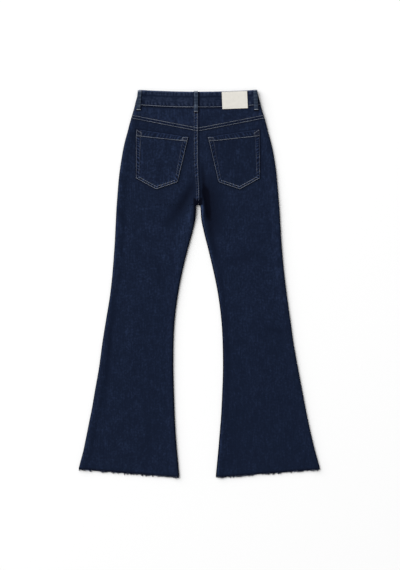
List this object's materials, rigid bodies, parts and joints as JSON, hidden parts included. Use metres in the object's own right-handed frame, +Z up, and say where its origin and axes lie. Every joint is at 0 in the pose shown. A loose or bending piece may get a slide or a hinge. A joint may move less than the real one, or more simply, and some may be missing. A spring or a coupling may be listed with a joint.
{
  "type": "flared jeans, laid flat",
  "caption": "High-waisted flared denim jeans with frayed hems, lying flat and face down so that the yoke, back pockets, belt loops and waistband patch show.",
  "frame": {"origin": "centre of the bounding box, on the surface that the jeans lie on", "axes": "+Y along the legs towards the waist, +Z up out of the back of the jeans, +X towards the wearer's right"},
  "size_m": [0.6895, 1.1056, 0.0147],
  "materials": {
    "denim": "dark indigo stretch denim, twill weave",
    "loop_denim": "indigo denim rubbed lighter along its folds",
    "patch_leather": "off-white leatherette, matt",
    "zip_tape": "navy woven tape",
    "brass": "aged, satin",
    "frayed_cotton": "loose indigo yarns with some undyed ones"
  },
  "bodies": {
    "root": {"back_panel_left": "denim", "back_panel_right": "denim", "back_yoke_left": "denim", "back_yoke_right": "denim", "back_pocket_left": "denim", "back_pocket_right": "denim", "waistband_back": "denim", "waistband_front_left": "denim", "waistband_front_right": "denim", "belt_loop_centre_back": "loop_denim", "belt_loop_back_left": "loop_denim", "belt_loop_back_right": "loop_denim", "belt_loop_front_left": "loop_denim", "belt_loop_front_right": "loop_denim", "label_patch": "patch_leather", "front_panel_left": "denim", "front_panel_right": "denim", "front_pocket_facing_left": "denim", "front_pocket_facing_right": "denim", "fly_shield": "denim", "zip": "zip_tape", "zip_slider": "brass", "button": "brass", "hem_fray_back_left": "frayed_cotton", "hem_fray_back_right": "frayed_cotton", "hem_fray_front_left": "frayed_cotton", "hem_fray_front_right": "frayed_cotton"}
  },
  "joints": []
}
